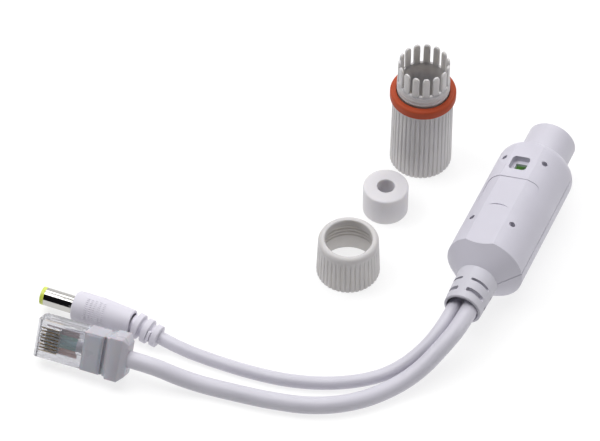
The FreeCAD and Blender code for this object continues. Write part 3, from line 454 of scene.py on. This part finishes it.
def add_bump(bm, place, x, y, z, size):
    """Small rounded pad on a surface, half sunk."""
    rows, columns = 4, 12
    verts = []
    for i in range(-rows, rows + 1):
        lift = math.radians(90.0 * i / rows * 0.96)
        ring = []
        for k in range(columns):
            t = 2 * math.pi * k / columns
            p = (x * size[0] * signed_power(math.cos(t), 0.6) * math.cos(lift)
                 + y * size[1] * signed_power(math.sin(t), 0.6) * math.cos(lift)
                 + z * size[2] * math.sin(lift))
            ring.append(place + p)
        verts.append(ring)
    loft(bm, verts)


RIBS = ((1.0, 3.95), (4.13, 3.8), (7.26, 3.45))     # start and radius of each rib
RIB_WIDTH = 2.1
RIB_EDGE = 0.25
RIB_FLARE = 0.12
RIB_GAP = 1.0
TAIL_CORE_R = 2.72
TAIL_LIMIT_R = 9.0
TAIL_LENGTH = 9.35
TAIL_STEPS = 110
BRIDGE_SIDES = (-30.0, 150.0)                       # degrees, a web joins two ribs on one side
BRIDGE_HALF = (28.0, 36.0)
BRIDGE_SINK = 0.15


def between(low, high, soft_in, soft_out, value):
    """One between two values, zero outside, with soft edges."""
    return smooth_step(low - soft_out, low + soft_in, value) \
        * (1 - smooth_step(high - soft_in, high + soft_out, value))


def rib_radius(station, angle, radius):
    """Radius of the ribbed tail at a station and an angle."""
    r = TAIL_CORE_R
    near, far = (math.radians(a) for a in BRIDGE_HALF)
    for i, (start, rib) in enumerate(RIBS):
        end = start + RIB_WIDTH
        on_rib = between(start, end, RIB_EDGE, RIB_FLARE, station)
        r = max(r, TAIL_CORE_R + (rib - TAIL_CORE_R) * on_rib)
        if i < len(RIBS) - 1:
            side = math.radians(BRIDGE_SIDES[i % 2])
            bridge = 1 - smooth_step(near, far, angle_gap(angle, side))
            in_gap = between(end, end + RIB_GAP, 0.1, 0.1, station)
            r = max(r, TAIL_CORE_R + (rib - BRIDGE_SINK - TAIL_CORE_R) * in_gap * bridge)
    return min(r, radius)


def make_dc_tail():
    bm = bmesh.new()
    profile = [(TAIL_LENGTH * k / TAIL_STEPS, TAIL_LIMIT_R) for k in range(TAIL_STEPS + 1)]
    lathe(bm, profile, 72, "x", closed=False, ripple=rib_radius)
    return finish_piece("dc_tail_ribbed", bm, TAIL_FRAME, "injector",
                        ("dc_strain_relief",), 50.0)


grip = make_dc_grip()
tail = make_dc_tail()


# ---------------------------------------------------------------- RJ45 boot
def box_section(x, half_w, half_h, corner):
    """Rounded rectangle across the plug."""
    per_corner = 5
    loop = []
    corners = ((1, 1, 0), (-1, 1, 90), (-1, -1, 180), (1, -1, 270))
    for sy, sz, start in corners:
        for k in range(per_corner):
            t = math.radians(start + 90.0 * k / (per_corner - 1))
            loop.append((x, sy * (half_w - corner) + corner * math.cos(t),
                         sz * (half_h - corner) + corner * math.sin(t)))
    return loop


BOOT_START = 14.8            # front of the boot, from the nose of the plug
BOOT = 13.6
BOOT_HALF_W = 6.65
BOOT_HALF_H = 4.2
# front block, groove and rear block: distance from the front, how far it lies inside the widest
# section across and in height, and its corner radius
BOOT_FRONT = (
    (0.0, 0.75, 0.75, 0.5), (0.15, 0.55, 0.55, 0.5), (5.9, 0.5, 0.5, 0.5), (6.1, 0.55, 0.6, 0.5),
    (6.2, 0.6, 1.25, 0.5), (7.0, 0.6, 1.25, 0.5), (7.15, 0.55, 0.5, 0.5), (7.9, 0.5, 0.45, 0.5),
    (8.05, 0.15, 0.1, 0.4), (8.2, 0.0, 0.0, 0.4),
)
# the same for the bevelled back, with the distance from the back
BOOT_BACK = (
    (1.75, 0.0, 0.0, 0.4), (1.6, 0.12, 0.12, 0.45), (0.1, 1.5, 1.5, 0.5), (0.0, 1.75, 1.75, 0.4),
)
PLATE_START = 0.6            # raised plate on the front block, from the front of the boot
PLATE_END = 5.6
PLATE_HALF_W = 5.6
PLATE_LEVELS = ((-0.6, 0.0), (0.12, 0.0), (0.26, 0.2), (0.3, 0.5))    # height and inset


def make_boot():
    bm = bmesh.new()
    w, h, x = BOOT_HALF_W, BOOT_HALF_H, BOOT_START
    end = x + BOOT
    stations = [(x + d, w - a, h - b, c) for d, a, b, c in BOOT_FRONT]
    stations += [(end - d, w - a, h - b, c) for d, a, b, c in BOOT_BACK]
    loft(bm, [box_section(*s) for s in stations])
    for side in (1, -1):
        sections = []
        for lift, inset in PLATE_LEVELS:
            z = side * (h - 0.5 + lift)
            low, high, half = x + PLATE_START + inset, x + PLATE_END - inset, PLATE_HALF_W - inset
            corners = [(low, -half), (high, -half), (high, half), (low, half)]
            sections.append([(px, py, z) for px, py in rounded(corners, [0.5] * 4, 3)])
        loft(bm, sections)
    return finish_piece("plug_boot_moulded", bm, PLUG_FRAME, "injector",
                        ("plug_boot",), 40.0)


boot = make_boot()


# ---------------------------------------------------------------- materials
def new_material(name):
    material = bpy.data.materials.new(name)
    material.use_nodes = True
    tree = material.node_tree
    tree.nodes.clear()
    out = tree.nodes.new("ShaderNodeOutputMaterial")
    shader = tree.nodes.new("ShaderNodeBsdfPrincipled")
    tree.links.new(shader.outputs[0], out.inputs["Surface"])
    return material, tree, shader


def noise(tree, scale, detail):
    """Noise in the piece's own space."""
    coords = tree.nodes.new("ShaderNodeTexCoord")
    node = tree.nodes.new("ShaderNodeTexNoise")
    node.inputs["Scale"].default_value = scale
    node.inputs["Detail"].default_value = detail
    tree.links.new(coords.outputs["Object"], node.inputs["Vector"])
    return node.outputs["Fac"]


NOISE_LOW = 0.3              # stretch of the noise over which a ramp changes
NOISE_HIGH = 0.7


def ramp(tree, source, low, high):
    """Runs from one colour to another with the noise."""
    node = tree.nodes.new("ShaderNodeValToRGB")
    first, last = node.color_ramp.elements
    first.position, first.color = NOISE_LOW, low
    last.position, last.color = NOISE_HIGH, high
    tree.links.new(source, node.inputs[0])
    return node.outputs["Color"]


def shade(colour, factor):
    return tuple(min(c * factor, 1.0) for c in colour) + (1.0,)


def grey(value):
    return (value, value, value, 1.0)


GLOSS_PATCH = 2.3            # gloss varies over finer patches than the colour
GLOSS_SPREAD = 0.15
GRAIN_STRENGTH = 0.6


def moulded(name, colour, rough, mottle=0.03, patch=70.0, grain=1600.0, bump=0.02, **sockets):
    """Moulded plastic, rubber or metal: slow colour drift, uneven gloss and a fine surface grain."""
    material, tree, shader = new_material(name)
    tint = ramp(tree, noise(tree, patch, 3.0), shade(colour, 1 - mottle), shade(colour, 1 + mottle))
    tree.links.new(tint, shader.inputs["Base Color"])
    gloss = ramp(tree, noise(tree, patch * GLOSS_PATCH, 2.0), grey(rough * (1 - GLOSS_SPREAD)),
                 grey(min(rough * (1 + GLOSS_SPREAD), 1.0)))
    tree.links.new(gloss, shader.inputs["Roughness"])
    relief = tree.nodes.new("ShaderNodeBump")
    relief.inputs["Strength"].default_value = GRAIN_STRENGTH
    relief.inputs["Distance"].default_value = bump * MM
    tree.links.new(noise(tree, grain, 3.0), relief.inputs["Height"])
    tree.links.new(relief.outputs["Normal"], shader.inputs["Normal"])
    for key, value in sockets.items():
        shader.inputs[key.replace("_", " ")].default_value = value
    return material


LAVENDER = (0.56, 0.545, 0.615)
FINISHES = {
    "shell_plastic": dict(colour=LAVENDER, rough=0.5),
    "collar_plastic": dict(colour=(0.55, 0.535, 0.60), rough=0.42),
    "carrier_plastic": dict(colour=(0.03, 0.03, 0.034), rough=0.5),
    "steel": dict(colour=(0.55, 0.55, 0.58), rough=0.5, Metallic=0.7),
    "gold_contact": dict(colour=(0.83, 0.58, 0.25), rough=0.25, Metallic=1.0),
    # board_laminate: its emission is painted light, a green glow that lifts the board seen through the sight
    # opening out of the shade it sits in
    "board_laminate": dict(colour=(0.16, 0.55, 0.12), rough=0.4, mottle=0.25, patch=900.0,
                           Emission_Color=(0.20, 0.45, 0.10, 1.0), Emission_Strength=0.25),
    "ferrite": dict(colour=(0.06, 0.06, 0.065), rough=0.7, mottle=0.1),
    "component_black": dict(colour=(0.025, 0.025, 0.028), rough=0.5, mottle=0.1),
    "can_aluminium": dict(colour=(0.55, 0.56, 0.60), rough=0.35, Metallic=0.8),
    "led_lens": dict(colour=(0.75, 0.80, 0.70), rough=0.2),
    "cord_white": dict(colour=(0.575, 0.56, 0.625), rough=0.42, patch=60.0, grain=900.0),
    "lead_red": dict(colour=(0.55, 0.05, 0.04), rough=0.4),
    "lead_blue": dict(colour=(0.05, 0.12, 0.45), rough=0.4),
    "relief_grey": dict(colour=(0.53, 0.52, 0.575), rough=0.55),
    "barrel_metal": dict(colour=(0.52, 0.51, 0.49), rough=0.10, mottle=0.01, patch=200.0,
                         grain=3000.0, bump=0.001, Metallic=1.0),
    "tip_yellow": dict(colour=(0.60, 0.68, 0.10), rough=0.35),
    "plug_white": dict(colour=(0.64, 0.62, 0.69), rough=0.6),
    "clear_plastic": dict(colour=(0.82, 0.82, 0.86), rough=0.12, mottle=0.01, bump=0.004,
                          Transmission_Weight=0.82, IOR=1.4),
    "boot_clear": dict(colour=(0.45, 0.445, 0.495), rough=0.3, Subsurface_Weight=0.3,
                       Subsurface_Scale=0.002),
    "wire_orange": dict(colour=(0.62, 0.24, 0.14), rough=0.35),
    "wire_green": dict(colour=(0.05, 0.36, 0.27), rough=0.35),
    "wire_blue": dict(colour=(0.07, 0.32, 0.34), rough=0.35),
    "wire_brown": dict(colour=(0.30, 0.17, 0.17), rough=0.35),
    "gland_plastic": dict(colour=(0.54, 0.525, 0.53), rough=0.45, Subsurface_Weight=0.35,
                          Subsurface_Scale=0.003, Subsurface_Radius=(1.0, 0.95, 0.8)),
    "seal_orange": dict(colour=(0.40, 0.062, 0.020), rough=0.6, mottle=0.06, patch=90.0,
                        Specular_IOR_Level=0.25),
    "rubber_white": dict(colour=(0.65, 0.635, 0.665), rough=0.5, Subsurface_Weight=0.5,
                         Subsurface_Scale=0.004, Subsurface_Radius=(1.0, 0.95, 0.75)),
}
MATERIALS = {name: moulded(name, **finish) for name, finish in FINISHES.items()}


def paint(piece, slot):
    piece.data.materials.clear()
    piece.data.materials.append(MATERIALS[slot])


for subpart in RECORD["subparts"]:
    paint(NODES[subpart["node"]], subpart["material_slot"])
for piece, slot in ((dc_cord, "cord_white"), (net_cord, "cord_white"), (gland, "gland_plastic"),
                    (seal, "seal_orange"), (rubber, "rubber_white"), (nut, "gland_plastic"),
                    (grip, "plug_white"), (tail, "plug_white"), (boot, "boot_clear")):
    paint(piece, slot)


# ---------------------------------------------------------------- floor and light
FLOOR_SIZE = 6.0             # half a side, metres
FLOOR_GLOW = 0.74            # keeps the paper white around the object
FLOOR_SHADES = (0.27, 0.29)
CENTRE = Vector((-0.03, -0.03, 0.0))
# name: place, size and power of each lamp; all of them look at CENTRE
LAMPS = {
    "top_softbox": ((-0.03, -0.03, 1.2), (0.8, 0.8), 6.3),
    "back_softbox": ((-0.12, 0.7, 1.0), (1.2, 0.6), 6.3),
    "left_softbox": ((-0.7, -0.1, 0.95), (0.6, 0.6), 7.0),
    "back_card": ((-0.45, 1.2, 0.42), (1.6, 0.8), 4.0),
    "right_softbox": ((0.95, 0.2, 0.45), (0.6, 0.6), 2.9),
}
OVERHEAD = 0.05              # a lamp this near to straight above takes +Y as its upper side


def make_floor():
    bm = bmesh.new()
    corners = ((-1, -1), (1, -1), (1, 1), (-1, 1))
    bm.faces.new([bm.verts.new((x * FLOOR_SIZE, y * FLOOR_SIZE, 0)) for x, y in corners])
    mesh = bpy.data.meshes.new("floor")
    bm.to_mesh(mesh)
    bm.free()
    floor = bpy.data.objects.new("floor", mesh)
    bpy.context.scene.collection.objects.link(floor)
    material, tree, shader = new_material("floor_paper")
    low, high = FLOOR_SHADES
    tint = ramp(tree, noise(tree, 3.0, 2.0), grey(low), grey(high))
    tree.links.new(tint, shader.inputs["Base Color"])
    shader.inputs["Roughness"].default_value = 0.9
    shader.inputs["Specular IOR Level"].default_value = 0.1
    shader.inputs["Emission Color"].default_value = grey(1.0)
    shader.inputs["Emission Strength"].default_value = FLOOR_GLOW
    mesh.materials.append(material)


def add_lamp(name, place, size, power):
    data = bpy.data.lights.new(name, "AREA")
    data.shape = "RECTANGLE"
    data.size, data.size_y = size
    data.energy = power
    lamp = bpy.data.objects.new(name, data)
    way = CENTRE - Vector(place)
    up = (0, 1, 0) if way.xy.length < OVERHEAD else (0, 0, 1)
    lamp.matrix_world = look_from(place, way, up)
    bpy.context.scene.collection.objects.link(lamp)


make_floor()
for name, (place, size, power) in LAMPS.items():
    add_lamp(name, place, size, power)

world = bpy.data.worlds.new("studio")
bpy.context.scene.world = world
world.use_nodes = True
background = world.node_tree.nodes["Background"]
background.inputs["Color"].default_value = (0.9, 0.9, 1.0, 1)
background.inputs["Strength"].default_value = 0.01
bpy.context.scene.view_settings.view_transform = "Standard"
